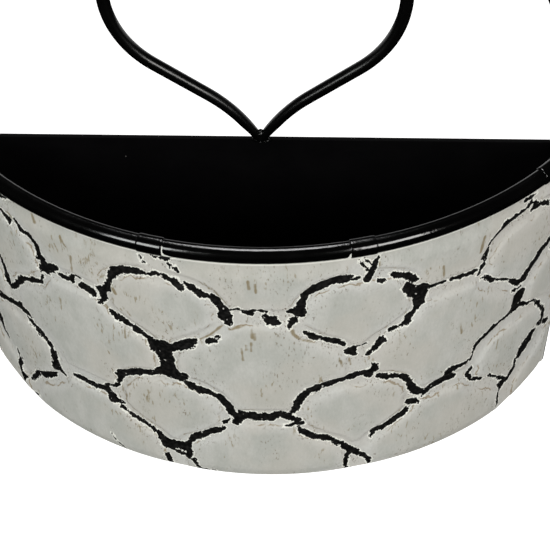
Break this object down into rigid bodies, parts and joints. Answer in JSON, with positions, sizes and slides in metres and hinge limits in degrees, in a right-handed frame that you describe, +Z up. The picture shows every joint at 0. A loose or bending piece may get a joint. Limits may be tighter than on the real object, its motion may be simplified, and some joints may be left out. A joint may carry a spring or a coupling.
{
  "type": "wall planter",
  "caption": "Half-round wall planter: tapered embossed sheet basket with a wire-bound rim, hung by a bent-wire arch with two scrolls.",
  "frame": {"origin": "on the wall plane, midway across the planter, level with the lower edge of the basket", "axes": "+X to the right as the planter is looked at, +Y into the wall, +Z up"},
  "size_m": [0.3428, 0.0983, 0.3837],
  "materials": {
    "whitewashed_sheet": "matt whitewash over embossed sheet steel, rubbed through to black in the grooves",
    "black_sheet": "matt black paint on sheet steel",
    "black_wire": "satin black paint on round steel"
  },
  "bodies": {
    "root": {"front_wall": "whitewashed_sheet", "back_panel": "black_sheet", "bottom_panel": "black_sheet", "rim_rod": "black_wire", "rim_clip_outer_left": "black_wire", "rim_clip_inner_left": "black_wire", "rim_clip_inner_right": "black_wire", "rim_clip_outer_right": "black_wire", "arch_wire": "black_wire", "scroll_left": "black_wire", "scroll_right": "black_wire", "hanging_tab": "black_wire"}
  },
  "joints": []
}
